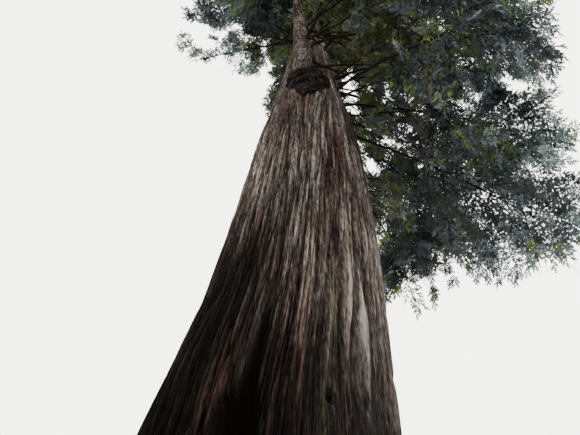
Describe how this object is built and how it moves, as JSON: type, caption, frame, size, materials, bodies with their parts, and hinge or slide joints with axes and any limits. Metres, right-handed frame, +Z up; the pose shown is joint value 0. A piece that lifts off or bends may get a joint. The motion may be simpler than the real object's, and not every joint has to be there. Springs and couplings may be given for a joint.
{
  "type": "redwood tree",
  "caption": "Coast redwood, whole tree: furrowed trunk with a fire hollow at its foot, a burl bearing a side stem, slender boughs and drooping masses of needles up to the tip.",
  "frame": {"origin": "centre of the flat cut at the foot of the trunk, at ground level", "axes": "+Z up; -Y is the side with the fire hollow, the burl and the side stem, which the picture is taken from; +X is the side that the trunk leans to and the long boughs reach to"},
  "size_m": [9.6782, 10.1913, 39.7684],
  "materials": {
    "bark": "deeply furrowed fibrous bark, matt",
    "side_stem_bark": "ringed and shallowly furrowed bark, matt",
    "bough_bark": "thin rough bark, matt",
    "needles": "flat sprays of needles, slightly glossy above"
  },
  "bodies": {
    "root": {"bough_01": "bough_bark", "bough_02": "bough_bark", "bough_03": "bough_bark", "bough_04": "bough_bark", "bough_05": "bough_bark", "bough_06": "bough_bark", "bough_07": "bough_bark", "bough_08": "bough_bark", "bough_09": "bough_bark", "bough_10": "bough_bark", "bough_11": "bough_bark", "bough_12": "bough_bark", "bough_13": "bough_bark", "bough_14": "bough_bark", "bough_15": "bough_bark", "bough_16": "bough_bark", "bough_17": "bough_bark", "bough_18": "bough_bark", "foliage_01": "needles", "foliage_02": "needles", "foliage_03": "needles", "foliage_04": "needles", "foliage_05": "needles", "foliage_06": "needles", "foliage_07": "needles", "foliage_08": "needles", "foliage_09": "needles", "foliage_10": "needles", "foliage_11": "needles", "foliage_12": "needles", "foliage_13": "needles", "foliage_14": "needles", "foliage_15": "needles", "foliage_16": "needles", "foliage_17": "needles", "foliage_18": "needles", "foliage_19": "needles", "foliage_20": "needles", "foliage_21": "needles", "foliage_22": "needles", "foliage_23": "needles", "foliage_24": "needles", "foliage_25": "needles", "foliage_26": "needles", "foliage_27": "needles", "foliage_28": "needles", "foliage_29": "needles", "foliage_30": "needles", "foliage_31": "needles", "foliage_32": "needles", "foliage_33": "needles", "foliage_34": "needles", "foliage_35": "needles", "foliage_36": "needles", "foliage_37": "needles", "foliage_38": "needles", "foliage_39": "needles", "foliage_40": "needles", "side_stem": "side_stem_bark", "trunk": "bark"}
  },
  "joints": []
}
